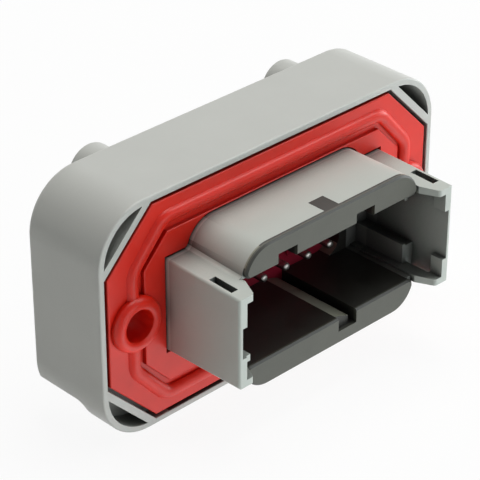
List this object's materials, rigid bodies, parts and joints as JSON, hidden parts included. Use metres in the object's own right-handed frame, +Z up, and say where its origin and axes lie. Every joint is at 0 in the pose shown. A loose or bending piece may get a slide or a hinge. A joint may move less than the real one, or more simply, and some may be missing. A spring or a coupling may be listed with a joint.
{
  "type": "sealed automotive connector header",
  "caption": "Flange-mount sealed pin header with a shrouded cavity, keying liner, two latch wings, a red panel gasket and contact pins bent down to a circuit board.",
  "frame": {"origin": "on the bolt line, halfway between the two panel bolts, in the plane of the flange rim's front edge", "axes": "+X along the bolt line, to the right seen from the mating side; -Y out of the mating side; +Z up, away from the circuit board"},
  "size_m": [0.0824, 0.0407, 0.046],
  "materials": {
    "housing_plastic": "light grey moulded thermoplastic, fine satin",
    "liner_plastic": "dark grey moulded thermoplastic, satin",
    "gasket_silicone": "red silicone rubber, smooth satin",
    "guide_plastic": "red moulded thermoplastic, satin",
    "potting_resin": "black cast epoxy, glossy",
    "tail_guide_plastic": "black moulded thermoplastic, satin",
    "plated_contact": "copper alloy, bright tin-nickel plating"
  },
  "bodies": {
    "root": {"header_housing": "housing_plastic", "keying_liner": "liner_plastic", "panel_gasket": "gasket_silicone", "pin_guide_plate": "guide_plastic", "pin_potting": "potting_resin", "tail_guide_plate": "tail_guide_plastic", "pin_upper_1": "plated_contact", "pin_upper_2": "plated_contact", "pin_upper_3": "plated_contact", "pin_upper_4": "plated_contact", "pin_upper_5": "plated_contact", "pin_upper_6": "plated_contact", "pin_lower_1": "plated_contact", "pin_lower_2": "plated_contact", "pin_lower_3": "plated_contact", "pin_lower_4": "plated_contact", "pin_lower_5": "plated_contact", "pin_lower_6": "plated_contact"}
  },
  "joints": []
}
